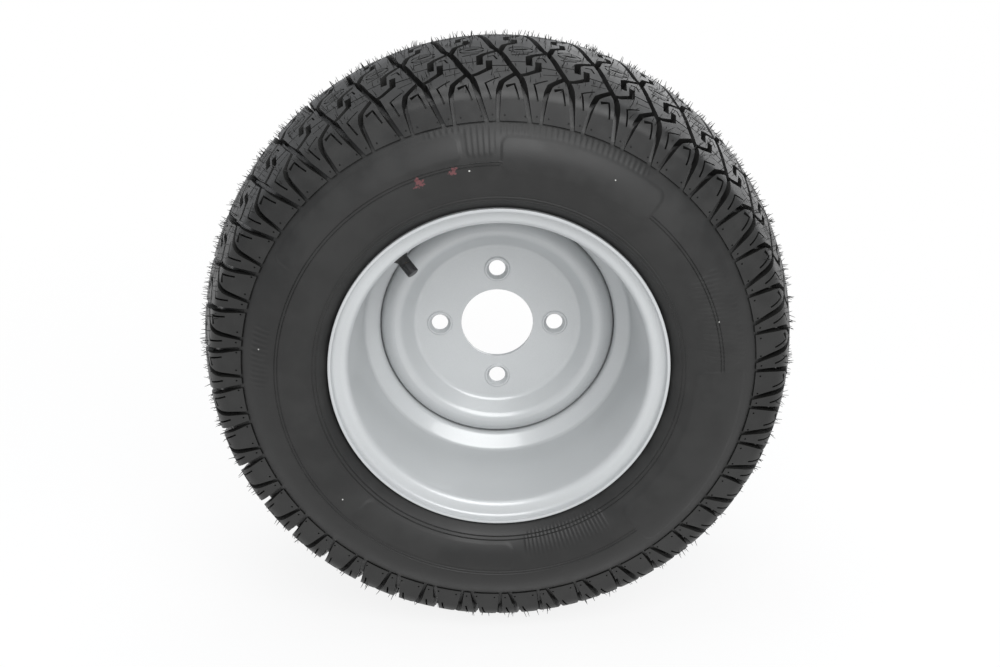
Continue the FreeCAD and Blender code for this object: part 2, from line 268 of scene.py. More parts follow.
def drawn_line(name, points):
    """An open line of edges, drawn by extruding one corner from point to point. It stays in edit mode."""
    deselect()
    bpy.ops.mesh.primitive_plane_add(size=MM, location=(0, 0, 0))
    piece = bpy.context.object
    piece.name = name
    bpy.ops.object.mode_set(mode="EDIT")
    bpy.ops.mesh.select_mode(type="VERT")
    bpy.ops.mesh.select_all(action="SELECT")
    bpy.ops.mesh.merge(type="CENTER")
    bpy.ops.transform.translate(value=points[0])
    for here, there in zip(points, points[1:]):
        bpy.ops.mesh.extrude_region_move(TRANSFORM_OT_translate={"value": there - here})
    bpy.ops.mesh.select_all(action="SELECT")
    return piece


def finish_piece(piece, name, body, material, smooth=None):
    piece.name = name
    piece.data.name = name
    piece.data.materials.clear()
    piece.data.materials.append(material)
    if smooth is not None:
        activate(piece)
        bpy.ops.object.shade_smooth_by_angle(angle=math.radians(smooth))
    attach(piece, body)


def weigh_normals(piece):
    """Lets large faces keep their own shading beside the small faces of a rounded edge."""
    activate(piece)
    weigh = piece.modifiers.new("weigh", "WEIGHTED_NORMAL")
    weigh.keep_sharp = True
    apply(weigh)


# Outline of the tyre, as distances from the middle plane and from the axle

CROWN_ARC = 0.284
CROWN_HALF = 0.0896
SHOULDER_ARC = 0.0157
FLANK_TURN = math.radians(78.5)
FLANK_LENGTH = 0.0165
EDGE_TURN = math.asin(CROWN_HALF / CROWN_ARC)
CROWN_REACH = CROWN_ARC * EDGE_TURN
SHOULDER_REACH = CROWN_REACH + SHOULDER_ARC * (FLANK_TURN - EDGE_TURN)
FOOT_REACH = SHOULDER_REACH + FLANK_LENGTH


def direction(turn):
    """Unit vector in the section plane, as (outwards from the middle, away from the axle)."""
    return Vector((math.sin(turn), math.cos(turn)))


CROWN_CENTRE = Vector((0, TYRE_RADIUS - CROWN_ARC))
SHOULDER_CENTRE = CROWN_CENTRE + direction(EDGE_TURN) * (CROWN_ARC - SHOULDER_ARC)


def outline(reach):
    """Point and outward normal of the tread's outline at a distance along it from the middle."""
    along = abs(reach)
    if along <= CROWN_REACH:
        normal = direction(along / CROWN_ARC)
        point = CROWN_CENTRE + normal * CROWN_ARC
    else:
        turn = min(EDGE_TURN + (along - CROWN_REACH) / SHOULDER_ARC, FLANK_TURN)
        normal = direction(turn)
        point = SHOULDER_CENTRE + normal * SHOULDER_ARC
        slide = max(along - SHOULDER_REACH, 0)
        point = point + Vector((normal.y, -normal.x)) * slide
    if reach < 0:
        return Vector((-point.x, point.y)), Vector((-normal.x, normal.y))
    return point, normal


def wrapped(spot):
    """Place on the tyre of a point of the flat tread: round the tyre, towards the outer side, above it."""
    tread = settings().tread
    point, normal = outline(spot.y)
    across, radius = point + normal * spot.z
    angle = math.pi / 2 + tread.turn - spot.x / tread.rolling_radius
    return Vector((radius * math.cos(angle), -across, radius * math.sin(angle)))


# Tread pattern of one pitch, flat, in millimetres: round the tyre, from the middle towards the outer side

MAIN_GROOVE = [
    (-19.63, 0), (-17.6, 12), (-14.4, 27.4), (-9, 37.7), (-5.4, 49.7), (-1.2, 65.2),
    (3.8, 78.9), (7.6, 87.4), (10.4, 99.4), (12.4, 107.6), (18.2, 126),
]
MAIN_WIDTHS = [5.4] * 9 + [5.2, 5.0]
GROOVES = {
    "knee": ([(2.7, 80.5), (-3.2, 87.4), (-8.2, 93.4), (-10.6, 101.2), (-11.2, 107.6), (-11.6, 126)],
             [5, 5, 5, 4.8, 4.6, 4.2]),
    "upper_notch": ([(-9.6, 34.5), (-22, 44), (-25.2, 48), (-25.2, 65)], [4.6, 4.6, 5.6, 5.6]),
    "lower_notch": ([(-17.8, 57), (-17.8, 72), (-21, 75), (-27.6, 80.6), (-33.2, 83)],
                    [5.4, 5.4, 4.8, 4.6, 4.6]),
    "middle_notch": ([(3.2, -2), (3.2, 12), (-4.9, 19.5), (-6.2, 24), (-8.4, 36)], [5.0] * 5),
}
SIPES = {
    "hook": ([(-10.5, 86.6), (-21.3, 94.3), (-17.2, 108)], [1.6, 1.6, 1.7]),
    "seven": ([(-4.7, 97.7), (2, 95.2), (6.2, 108)], [3.0, 1.8, 1.6]),
    "corner": ([(-18.8, 49), (-13.8, 47.3), (-11.3, 55)], [1.7, 1.6, 1.6]),
    "slit": ([(0.3, 45), (13.7, 41.6)], [1.8, 1.4]),
    "right_line": ([(-16.5, 66.9), (0, 66.9)], [1.7, 1.7]),
    "left_line": ([(-26.5, 58.2), (-41, 59)], [1.3, 1.3]),
    "step_line": ([(-14, 78.5), (-1.5, 75.5)], [0.9, 0.9]),
    "eye": ([(1.8, 32.2), (5, 31.4), (11, 30.1), (14.2, 29.4)], [0.6, 3.8, 3.8, 0.6]),
}
EYE_CENTRE = (8.0, 31.4)
EYE_REACH = (10.0, 9.0)
EYE_SIDES = 14
EYE_LINE = 1.1
EYE_RINGS = (1.0, 0.62)
EYE_STARTS = (0.04, 0.54)
EYE_SPAN = 0.42
PINS = [(-5.5, 120), (12.8, 120.4), (-16.3, 119.7)]
PIN_WIDTH = 1.8
PIN_SIDES = 6
FOOT_GROOVE_DEPTH = 0.9
SHOULDER_CUTS = 5
CROWN_CUT = 8.0
CROWN_CUTS = 11
PITCH_CUTS = 4
NEIGHBOURS = 2
CUT_MARGIN = 6 * MM
CUTTER_RISE = 1.5 * MM
EDGE_ANGLE = 0.6
PITCH_WELD = 0.05 * MM
TOUCH = MM * MM


def pitch_length():
    tread = settings().tread
    return math.tau * tread.rolling_radius / tread.pitch_count


def groove_floor(reach, depth):
    """Depth of a groove: full on the crown and shoulder, then rising to the foot."""
    share = (abs(reach) - SHOULDER_REACH) / FLANK_LENGTH
    shallow = depth + (FOOT_GROOVE_DEPTH * MM - depth) * min(max(share, 0), 1)
    return min(depth, shallow)


def groove_cutter(name, path, widths, depth):
    """A tapered wall along a path: a drawn line, drawn down to the groove's floor and thickened."""
    draft = settings().tread.draft
    points = [Vector((x * MM, y * MM, 0)) for x, y in path]
    cutter = drawn_line(name, points)
    bpy.ops.mesh.extrude_region_move(TRANSFORM_OT_translate={"value": (0, 0, -depth)})
    leave_edit()
    widest = max(widths)
    width_group = cutter.vertex_groups.new(name="width")
    for corner in cutter.data.vertices:
        place = min(range(len(points)), key=lambda index: (points[index].xy - corner.co.xy).length)
        low = corner.co.z < -depth / 2
        corner.co.z = -groove_floor(corner.co.y, depth) if low else CUTTER_RISE
        weight = widths[place] / widest * (draft if low else 1)
        width_group.add([corner.index], weight, "REPLACE")
    thicken = cutter.modifiers.new("thicken", "SOLIDIFY")
    thicken.thickness = widest * MM
    thicken.offset = 0
    thicken.use_even_offset = True
    thicken.vertex_group = width_group.name
    apply(thicken)
    agree_normals(cutter)
    return cutter


def pin_cutter(name, spot, depth):
    deselect()
    place = (spot[0] * MM, spot[1] * MM, 0)
    bpy.ops.mesh.primitive_cylinder_add(
        vertices=PIN_SIDES, radius=PIN_WIDTH / 2 * MM, depth=2 * depth, location=place
    )
    cutter = bpy.context.object
    cutter.name = name
    bpy.ops.object.transform_apply(location=True)
    return cutter


def repeated(cutter, group, margin, both_halves=True):
    """Copies a cutter to the neighbouring pitches and, end for end, to the other half of the tread."""
    pitch = pitch_length()
    reach = pitch / 2 + margin
    halves = (0, math.pi) if both_halves else (0,)
    for half in halves:
        for step in range(-NEIGHBOURS, NEIGHBOURS + 1):
            mesh = cutter.data.copy()
            mesh.transform(Matrix.Translation((step * pitch, 0, 0)) @ Matrix.Rotation(half, 4, "Z"))
            places = [corner.co.x for corner in mesh.vertices]
            if max(places) > -reach and min(places) < reach:
                group.objects.link(bpy.data.objects.new(cutter.name, mesh))
    bpy.data.objects.remove(cutter)


def cut_away(piece, group):
    activate(piece)
    cut = piece.modifiers.new("cut", "BOOLEAN")
    cut.operation = "DIFFERENCE"
    cut.operand_type = "COLLECTION"
    cut.collection = group
    cut.solver = "EXACT"
    cut.use_self = True
    apply(cut)
    for cutter in list(group.objects):
        bpy.data.objects.remove(cutter)
    bpy.data.collections.remove(group)


def slice_at(normal, distance, outer=False, inner=False):
    bpy.ops.mesh.select_all(action="SELECT")
    place = [part * distance for part in normal]
    bpy.ops.mesh.bisect(
        plane_co=place, plane_no=normal, clear_outer=outer, clear_inner=inner, threshold=TOUCH
    )


def shoulder_lines():
    step = (SHOULDER_REACH - CROWN_REACH) / SHOULDER_CUTS
    lines = [CROWN_REACH + index * step for index in range(SHOULDER_CUTS + 1)]
    return lines + [-line for line in lines]


def new_group(name):
    group = bpy.data.collections.new(name)
    bpy.context.scene.collection.children.link(group)
    return group


def select_block_edges(piece, half_length):
    """Selects the upper edges of the blocks, where the tread meets a groove's wall."""
    mesh = bmesh.from_edit_mesh(piece.data)
    bpy.ops.mesh.select_all(action="DESELECT")
    bpy.ops.mesh.select_mode(type="EDGE")
    for edge in mesh.edges:
        on_top = all(abs(corner.co.z) < TOUCH for corner in edge.verts)
        inside = all(abs(corner.co.x) < half_length - TOUCH for corner in edge.verts)
        if on_top and inside and edge.calc_face_angle(0) > EDGE_ANGLE:
            edge.select = True
    bmesh.update_edit_mesh(piece.data)


def eye_arcs():
    """The bowed lines above and below the eye-shaped slot."""
    arcs = []
    (x, y), (wide, high) = EYE_CENTRE, EYE_REACH
    for start in EYE_STARTS:
        turns = [math.tau * (start + EYE_SPAN * index / EYE_SIDES * 2) for index in range(EYE_SIDES // 2 + 1)]
        for ring in EYE_RINGS:
            arcs.append([(x + wide * math.cos(turn), y + high * ring * math.sin(turn)) for turn in turns])
    return arcs


def flat_pitch():
    """One pitch of the tread, flat, with its grooves, rounded blocks and sipes."""
    tread = settings().tread
    pitch = pitch_length()
    grooves = new_group("grooves")
    rear = [(-pitch / MM - x, -y) for x, y in reversed(MAIN_GROOVE[1:])]
    main = groove_cutter("main", rear + MAIN_GROOVE, MAIN_WIDTHS[:0:-1] + MAIN_WIDTHS, tread.depth)
    repeated(main, grooves, CUT_MARGIN, both_halves=False)
    for name, (path, widths) in GROOVES.items():
        repeated(groove_cutter(name, path, widths, tread.depth), grooves, CUT_MARGIN)
    sipes = new_group("sipes")
    for name, (path, widths) in SIPES.items():
        repeated(groove_cutter(name, path, widths, tread.sipe_depth), sipes, CUT_MARGIN)
    for arc in eye_arcs():
        widths = [EYE_LINE] * len(arc)
        repeated(groove_cutter("eye_arc", arc, widths, tread.sipe_depth / 2), sipes, CUT_MARGIN)
    for spot in PINS:
        repeated(pin_cutter("pin", spot, tread.sipe_depth / 3), sipes, CUT_MARGIN)

    deselect()
    bpy.ops.mesh.primitive_cube_add(size=1, location=(0, 0, -tread.base / 2))
    slab = bpy.context.object
    slab.scale = (pitch + 2 * CUT_MARGIN, 2 * FOOT_REACH, tread.base)
    bpy.ops.object.transform_apply(location=True, scale=True)
    edit(slab)
    for index in range(-CROWN_CUTS, CROWN_CUTS + 1):
        slice_at((0, 1, 0), index * CROWN_CUT * MM)
    for line in shoulder_lines():
        slice_at((0, 1, 0), line)
    for index in range(-PITCH_CUTS // 2, PITCH_CUTS // 2 + 1):
        slice_at((1, 0, 0), index * pitch / PITCH_CUTS)
    leave_edit()
    cut_away(slab, grooves)
    edit(slab)
    select_block_edges(slab, pitch / 2 + CUT_MARGIN)
    bpy.ops.mesh.bevel(offset=tread.edge_round, segments=2, affect="EDGES", clamp_overlap=True)
    leave_edit()
    cut_away(slab, sipes)
    edit(slab)
    for line in shoulder_lines():
        slice_at((0, 1, 0), line)
    slice_at((1, 0, 0), pitch / 2, outer=True)
    slice_at((1, 0, 0), -pitch / 2, inner=True)
    leave_edit()
    return slab


class WHEEL_OT_tread(bpy.types.Operator):
    """Models one pitch of the tread flat, wraps it on the tyre and repeats it all the way round"""

    bl_idname = "wheel.tread"
    bl_label = "Tread"

    def execute(self, context):
        tread = settings().tread
        piece = flat_pitch()
        for corner in piece.data.vertices:
            corner.co = wrapped(corner.co)
        repeat_round(piece, math.tau / tread.pitch_count, tread.pitch_count, PITCH_WELD)
        agree_normals(piece)
        finish_piece(piece, "tyre_tread", "wheel", rubber_finish("tread rubber", True), smooth=28)
        weigh_normals(piece)
        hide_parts("tyre")
        return {"FINISHED"}


# Sidewalls: each is turned in one closed section, from the tread's foot round the bead and up the air side

WALL_TOP = Vector((101.9, 209.1)) * MM
WALL_BULGE = Vector((SECTION_HALF, (209.4 * MM + FLANGE_RADIUS) / 2))
WALL_FOOT = Vector((LIP_END + 3.5 * MM, FLANGE_RADIUS + 6.5 * MM))
WALL_POINTS = 46
RIB_ZONES = [
    (90.5, 98.0, 186.0, 207.5, 0.0),
    (56.0, 90.5, 200.5, 207.5, 0.0),
    (98.0, 106.0, 203.8, 207.5, 0.0),
    (4.0, 29.0, 164.0, 198.0, 0.1),
    (-82.0, -55.0, 147.0, 166.0, 0.0),
    (166.0, 182.0, 186.0, 200.0, 0.0),
]
PANELS = [
    (50.0, 89.5, 172.5, 199.5),
    (99.0, 150.0, 184.0, 203.0),
    (-50.0, 2.0, 158.0, 198.0),
    (-135.0, -86.0, 153.0, 175.5),
]
PANEL_HEIGHT = 0.6 * MM
PANEL_CORNER = 7 * MM
PANEL_BLEND = 0.7 * MM
RIB_BLEND = 1.0 * MM
ON_FACE = 0.02 * MM
CURL_RADIUS = 6.5 * MM
LIP_REACH = 4.3 * MM
RING_LINES = [180.8, 178.4, 151.4, 148.8]
RING_HEIGHT = 0.6 * MM
RING_WIDTH = 0.45 * MM


def circle_centre(a, b, c):
    """Centre of the circle through three points."""
    ab = (a + b) / 2
    bc = (b + c) / 2
    ab_turn = Vector((a.y - b.y, b.x - a.x))
    bc_turn = Vector((b.y - c.y, c.x - b.x))
    offset = bc - ab
    slide = (offset.x * bc_turn.y - offset.y * bc_turn.x) / (ab_turn.x * bc_turn.y - ab_turn.y * bc_turn.x)
    return ab + ab_turn * slide


WALL_CENTRE = circle_centre(WALL_TOP, WALL_BULGE, WALL_FOOT)
WALL_ARC = (WALL_TOP - WALL_CENTRE).length


def arc_points(centre, start, end, count):
    """Points on an arc from one point to another, the short way round."""
    first = math.atan2(start.y - centre.y, start.x - centre.x)
    last = math.atan2(end.y - centre.y, end.x - centre.x)
    radius = (start - centre).length
    sweep = (last - first + math.pi) % math.tau - math.pi
    turns = [first + sweep * index / (count - 1) for index in range(count)]
    return [centre + Vector((math.cos(turn), math.sin(turn))) * radius for turn in turns]


def wall_points():
    """Outer face of the sidewall, with points set for each moulded ring."""
    points = arc_points(WALL_CENTRE, WALL_TOP, WALL_FOOT, WALL_POINTS)
    for line in RING_LINES:
        for step in (-1, 0, 1):
            rise = line * MM + step * RING_WIDTH - WALL_CENTRE.y
            points.append(WALL_CENTRE + Vector((math.sqrt(WALL_ARC ** 2 - rise ** 2), rise)))
    return sorted(points, key=lambda point: -point.y)


def sidewall_section():
    """The closed section, as distances from the middle plane and from the axle."""
    tuck = [WALL_TOP + Vector((-0.6, 1.6)) * MM]
    rim_half = LIP_END - LIP_REACH - CURL_RADIUS
    curl = Vector((rim_half + CURL_RADIUS, FLANGE_RADIUS - CURL_RADIUS))
    slope = [WALL_FOOT.lerp(curl + Vector((0, CURL_RADIUS)), share) for share in (0.35, 0.7)]
    bead = arc_points(curl, curl + Vector((0, CURL_RADIUS)), curl - Vector((CURL_RADIUS, 0)), 5)
    heel = Vector((rim_half, FLANGE_RADIUS - 13 * MM))
    bead += [heel + Vector((-0.6, 3)) * MM, heel + Vector((-2.2, 1.2)) * MM, heel + Vector((-6.5, 0.5)) * MM]
    toe = heel + Vector((-21, -1.8)) * MM
    air_side = [
        toe, toe + Vector((2, 14.7)) * MM,
        Vector((LIP_END - 8.5 * MM, FLANGE_RADIUS + 8.5 * MM)),
        Vector((SECTION_HALF - 8.5 * MM, WALL_BULGE.y)),
        Vector((94.7, 209.0)) * MM,
    ]
    return tuck + wall_points() + slope + bead + air_side


def soft_step(value, low, high):
    share = min(max((value - low) / (high - low), 0), 1)
    return share * share * (3 - 2 * share)


def inside_zone(angle, radius, zone, blend):
    """How far a place lies inside a zone with round corners, from 0 to 1, with soft borders."""
    start, end, low, high = zone
    middle = math.radians(start + end) / 2
    half = math.radians(end - start) / 2
    away = abs((angle - middle + math.pi) % math.tau - math.pi)
    along = (half - away) * radius
    across = min(radius - low * MM, high * MM - radius)
    corner = min(PANEL_CORNER, (high - low) * MM / 3)
    depth = min(along, across)
    if along < corner and across < corner:
        depth = corner - math.hypot(corner - along, corner - across)
    return soft_step(depth, -blend, blend)


def sidewall_relief(angle, radius):
    """Height of the moulded ribs, panels and rings above the plain sidewall."""
    casing = settings().casing
    panel = max(inside_zone(angle, radius, zone, PANEL_BLEND) for zone in PANELS)
    ribbed = 0
    for start, end, low, high, slant in RIB_ZONES:
        inside = inside_zone(angle, radius, (start, end, low, high), RIB_BLEND)
        turn = (angle + math.radians(slant) * (radius / MM - low)) * casing.rib_count
        ribbed = max(ribbed, inside * min(max(0.5 - 0.8 * math.cos(turn), 0), 1))
    height = casing.rib_height * ribbed * (1 - panel) + PANEL_HEIGHT * panel
    for line in RING_LINES:
        height += RING_HEIGHT * max(0, 1 - abs(radius - line * MM) / RING_WIDTH) * (1 - panel)
    return height


def raise_relief(piece):
    """Lifts the corners of a sidewall's outer face by the moulded relief."""
    for corner in piece.data.vertices:
        place = corner.co.copy()
        radius = math.hypot(place.x, place.z)
        spot = Vector((-place.y, radius))
        if abs((spot - WALL_CENTRE).length - WALL_ARC) > ON_FACE:
            continue
        outward = (spot - WALL_CENTRE).normalized()
        angle = math.atan2(place.z, place.x)
        moved = spot + outward * sidewall_relief(angle, radius)
        corner.co = Vector((place.x * moved.y / radius, -moved.x, place.z * moved.y / radius))


class WHEEL_OT_sidewalls(bpy.types.Operator):
    """Turns a sidewall round the axle, raises its moulded ribs and copies it to the other side"""

    bl_idname = "wheel.sidewalls"
    bl_label = "Sidewalls"

    def execute(self, context):
        casing = settings().casing
        section = sidewall_section()
        points = [Vector((point.y, -point.x, 0)) for point in section + section[:1]]
        outer = drawn_line("sidewall_outer", points)
        bpy.ops.mesh.remove_doubles(threshold=WELD)
        leave_edit()
        turn_section(outer, casing.rib_count * casing.steps_per_rib)
        raise_relief(outer)
        inner = bpy.data.objects.new("sidewall_inner", outer.data.copy())
        inner.data.transform(Matrix.Rotation(math.pi, 4, "Z"))
        context.scene.collection.objects.link(inner)
        rubber = rubber_finish("sidewall rubber", False)
        for piece, name in ((outer, "sidewall_outer"), (inner, "sidewall_inner")):
            finish_piece(piece, name, "wheel", rubber, smooth=35)
            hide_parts("tyre")
        return {"FINISHED"}


# Hairs left by the mould's vents

HAIR_PITCHES = 8
HAIR_TRIES = 110
HAIR_REACH = CROWN_REACH + 10 * MM
HAIR_LEAN = 2.2
HAIR_LENGTHS = (0.5, 1.35)
HAIR_ROOT = 0.5 * MM
PROBE = 5 * MM
PROBE_MISS = 0.1 * MM


def on_block(tread, spot):
    """True where the tread is at its full height, so not over a groove or a slit."""
    start = wrapped(spot + Vector((0, 0, PROBE)))
    end = wrapped(spot - Vector((0, 0, PROBE)))
    hit, place, normal, face = tread.ray_cast(start, end - start)
    return hit and abs((place - start).length - PROBE) < PROBE_MISS


def hair(model, spot, height, lean):
    """A copy of the model hair, stretched, bent and set on the tyre."""
    mesh = model.data.copy()
    for corner in mesh.vertices:
        rise = corner.co.z + 0.5
        bend = lean * rise ** 2
        corner.co = wrapped(spot + bend + Vector((corner.co.x, corner.co.y, rise * height - HAIR_ROOT)))
    piece = bpy.data.objects.new("hair", mesh)
    bpy.context.scene.collection.objects.link(piece)
    return piece


class WHEEL_OT_whiskers(bpy.types.Operator):
    """Scatters thin rubber hairs over the tread blocks"""

    bl_idname = "wheel.whiskers"
    bl_label = "Whiskers"

    def execute(self, context):
        look = settings().whiskers
        draw = random.Random(look.seed)
        half = pitch_length() / 2
        tread = bpy.data.objects["tyre_tread"]
        deselect()
        bpy.ops.mesh.primitive_cone_add(
            vertices=4, radius1=look.thickness / 2, radius2=look.thickness / 6, depth=1, location=(0, 0, 0),
            end_fill_type="NOTHING",
        )
        model = context.object
        hairs = []
        for step in range(HAIR_PITCHES):
            for index in range(HAIR_TRIES):
                across = draw.uniform(-HAIR_REACH, HAIR_REACH)
                spot = Vector((2 * step * half + draw.uniform(-half, half), across, 0))
                height = look.length * draw.uniform(*HAIR_LENGTHS)
                ahead = draw.uniform(-HAIR_LEAN, HAIR_LEAN)
                aside = draw.uniform(-HAIR_LEAN, HAIR_LEAN)
                lean = Vector((ahead, aside, 0)) * MM
                if on_block(tread, spot):
                    hairs.append(hair(model, spot, height, lean))
        bpy.data.objects.remove(model)
        deselect()
        for piece in hairs:
            piece.select_set(True)
        context.view_layer.objects.active = hairs[0]
        bpy.ops.object.join()
        piece = context.object
        pitches = settings().tread.pitch_count
        repeat_round(piece, HAIR_PITCHES * math.tau / pitches, pitches // HAIR_PITCHES)
        finish_piece(piece, "tread_whiskers", "wheel", hair_finish())
        return {"FINISHED"}


# Shader maths: a socket that takes part in Python expressions, and a material that makes nodes

class Value:
    """A node's output, used like a number."""

    def __init__(self, finish, output):
        self.finish = finish
        self.output = output

    def maths(self, operation, *values):
        inputs = dict(enumerate(values))
        return self.finish.node("ShaderNodeMath", {"operation": operation}, inputs)

    def __add__(self, other):
        return self.maths("ADD", self, other)

    def __radd__(self, other):
        return self.maths("ADD", other, self)

    def __sub__(self, other):
        return self.maths("SUBTRACT", self, other)

    def __mul__(self, other):
        return self.maths("MULTIPLY", self, other)

    def __pow__(self, other):
        return self.maths("POWER", self, other)

    def root(self):
        return self.maths("SQRT", self)

    def clamped(self):
        return self.maths("MINIMUM", self.maths("MAXIMUM", self, 0.0), 1.0)

    def most(self, other):
        return self.maths("MAXIMUM", self, other)

    def between(self, low, high):
        """0 at low and 1 at high, smooth between them."""
        ends = {"From Min": low, "From Max": high, "Value": self}
        return self.finish.node("ShaderNodeMapRange", {"interpolation_type": "SMOOTHSTEP"}, ends)


class Finish:
    """A material being built from nodes."""

    def __init__(self, name):
        self.material = bpy.data.materials.new(name)
        self.material.use_nodes = True
        self.tree = self.material.node_tree
        self.tree.nodes.clear()

    def node(self, kind, options=None, inputs=None, output=0):
        """Adds a node, sets its options first and then its sockets, and gives one of its outputs."""
        made = self.tree.nodes.new(kind)
        for name, option in (options or {}).items():
            if name == "stops":
                self.set_stops(made.color_ramp, option)
            else:
                setattr(made, name, option)
        for name, value in (inputs or {}).items():
            socket = made.inputs[name]
            if isinstance(value, Value):
                self.tree.links.new(value.output, socket)
            else:
                socket.default_value = value
        return Value(self, made.outputs[output]) if made.outputs else None

    def set_stops(self, ramp, stops):
        while len(ramp.elements) < len(stops):
            ramp.elements.new(1)
        for element, (place, colour) in zip(ramp.elements, stops):
            element.position = place
            element.color = (*colour, 1)

    def place(self):
        """Object coordinates as a vector and as its three parts."""
        spot = self.node("ShaderNodeTexCoord", output=3)
        parts = [self.node("ShaderNodeSeparateXYZ", inputs={0: spot}, output=index) for index in range(3)]
        return spot, parts

    def noise(self, spot, scale, detail=3.0, roughness=0.5):
        inputs = {"Vector": spot, "Scale": scale, "Detail": detail, "Roughness": roughness}
        return self.node("ShaderNodeTexNoise", inputs=inputs)

    def colour(self, mask, low, high):
        """Mixes two colours by a mask."""
        inputs = {0: mask, 6: low if isinstance(low, Value) else (*low, 1)}
        inputs[7] = high if isinstance(high, Value) else (*high, 1)
        return self.node("ShaderNodeMix", {"data_type": "RGBA"}, inputs, output=2)

    def bump(self, height, distance, strength=1.0):
        inputs = {"Height": height, "Distance": distance, "Strength": strength}
        return self.node("ShaderNodeBump", inputs=inputs)

    def surface(self, **sockets):
        inputs = {}
        for name, value in sockets.items():
            inputs[name.replace("_", " ").title().replace("Ior", "IOR")] = value
        shader = self.node("ShaderNodeBsdfPrincipled", inputs=inputs)
        self.node("ShaderNodeOutputMaterial", inputs={"Surface": shader})
        return self.material


def shade(colour, factor):
    return tuple(part * factor for part in colour)


MARKS = [(175.5, 110.5, 4.6), (177.0, 101.5, 3.8)]
SPECKS = [
    (175.5, 97.5, 0.8), (169.0, -140.5, 0.7), (181.0, 16.0, 0.6), (188.0, 62.0, 0.6), (194.0, 172.0, 0.7),
]
SPECK_TONE = (0.5, 0.5, 0.48)


def spot_mask(finish, parts, spots, ragged):
    """Round patches on the outer sidewall, given by radius, angle and size in millimetres and degrees."""
    x, y, z = parts
    total = 0.0
    for radius, angle, size in spots:
        px = radius * MM * math.cos(math.radians(angle))
        pz = radius * MM * math.sin(math.radians(angle))
        away = ((x - px) ** 2.0 + (z - pz) ** 2.0).root()
        patch = (away + ragged * (size * MM)).between(size * MM, size * MM * 0.7)
        total = patch + total
    front = y.between(-0.09, -0.1)
    return (total * front).clamped()


def rubber_finish(name, on_tread):
    """Moulded black rubber: grey bloom, fine grain and a few specks; the sidewall has worn paint marks."""
    tones = settings().finish
    base = tuple(tones.rubber)
    finish = Finish(name)
    spot, parts = finish.place()
    cloud = finish.noise(spot, 14.0, 4.0, 0.6)
    patch = finish.noise(spot, 60.0, 3.0)
    grain = finish.noise(spot, 1400.0, 2.0)
    bloom = (cloud * 0.6 + patch * 0.4).between(0.4, 0.65)
    colour = finish.colour(bloom, shade(base, 0.75), shade(base, 1.35))
    roughness = (0.34 if on_tread else 0.44) + bloom * 0.14 + grain * 0.06
    if not on_tread:
        ragged = finish.noise(spot, 420.0, 3.0) * 3.4 - 1.5
        marks = spot_mask(finish, parts, MARKS, ragged)
        colour = finish.colour(marks * 0.7, colour, tuple(tones.mark))
        specks = spot_mask(finish, parts, SPECKS, 0.0)
        colour = finish.colour(specks, colour, SPECK_TONE)
        roughness = roughness + marks * 0.15
    normal = finish.bump(grain * 0.5 + patch * 0.5, 0.0002, 0.5)
    return finish.surface(
        base_color=colour, roughness=roughness, normal=normal, specular_ior_level=0.45,
    )


def hair_finish():
    finish = Finish("hair rubber")
    spot, parts = finish.place()
    tone = finish.noise(spot, 300.0)
    base = tuple(settings().finish.rubber)
    return finish.surface(base_color=finish.colour(tone, shade(base, 0.6), base), roughness=0.5)


def paint_finish(name, gloss):
    """Silver-grey sprayed paint: faint flake, orange peel and slightly duller patches."""
    base = tuple(settings().finish.paint)
    finish = Finish(name)
    spot, parts = finish.place()
    flake = finish.noise(spot, 2600.0, 1.0)
    peel = finish.noise(spot, 240.0, 2.0)
    cloud = finish.noise(spot, 9.0, 3.0)
    mottle = (flake * 0.5 + cloud * 0.5).between(0.3, 0.7)
    colour = finish.colour(mottle, shade(base, 0.94), shade(base, 1.05))
    roughness = gloss + cloud * 0.08 + flake * 0.04
    normal = finish.bump(peel, 0.00008, 0.35)
    return finish.surface(
        base_color=colour, roughness=roughness, normal=normal,
        metallic=0.15, coat_weight=0.45, coat_roughness=0.08,
    )


def metal_finish(name, tint):
    finish = Finish(name)
    spot, parts = finish.place()
    scratch = finish.noise(spot, 900.0, 3.0)
    colour = finish.colour(scratch, shade(tint, 0.85), tint)
    return finish.surface(base_color=colour, metallic=1.0, roughness=0.24 + scratch * 0.14)


def moulded_finish(name, tone, roughness):
    finish = Finish(name)
    spot, parts = finish.place()
    grain = finish.noise(spot, 800.0, 2.0)
    colour = finish.colour(grain, shade(tone, 0.8), shade(tone, 1.2))
    normal = finish.bump(grain, 0.00005, 0.4)
    return finish.surface(base_color=colour, roughness=roughness + grain * 0.08, normal=normal)


def dress(node, material):
    """Gives a CAD node its finish."""
    mesh = frame["nodes"][node].data
    mesh.materials.clear()
    mesh.materials.append(material)


# Rim barrel: corners of the face that shows, in millimetres: towards the outer side, from the axle, rounding

LIP_RADIUS = 137.0
FLANGE_FACE = 94.6
HEEL_RADIUS = 124.2
WELL_RADIUS = 103.0
LIP_BEND = 3.9
HEEL_BEND = 6.6
BARREL = [
    (LIP_END / MM, LIP_RADIUS, 0), (FLANGE_FACE, LIP_RADIUS, LIP_BEND), (FLANGE_FACE, HEEL_RADIUS, HEEL_BEND),
    (10.4, 116.85, 6.0), (1.5, WELL_RADIUS, 6.0), (-44.0, WELL_RADIUS, 20.0), (-69.0, 122.0, 5.0),
    (-FLANGE_FACE, HEEL_RADIUS, HEEL_BEND), (-FLANGE_FACE, LIP_RADIUS, LIP_BEND), (-LIP_END / MM, LIP_RADIUS, 0),
]
BEND_POINTS = 7
RUN_STEP = 3.5 * MM
SEAT_BELOW_JOINT = 13.0 * MM
SEAT_FLAT = 8.5 * MM
SEAT_EDGE = 17.0 * MM
HOLE_WIDTH = 11.5 * MM
HOLE_SIDES = 32
LIP_ANGLE = math.radians(70)
PAINT_ROUGHNESS = 0.30


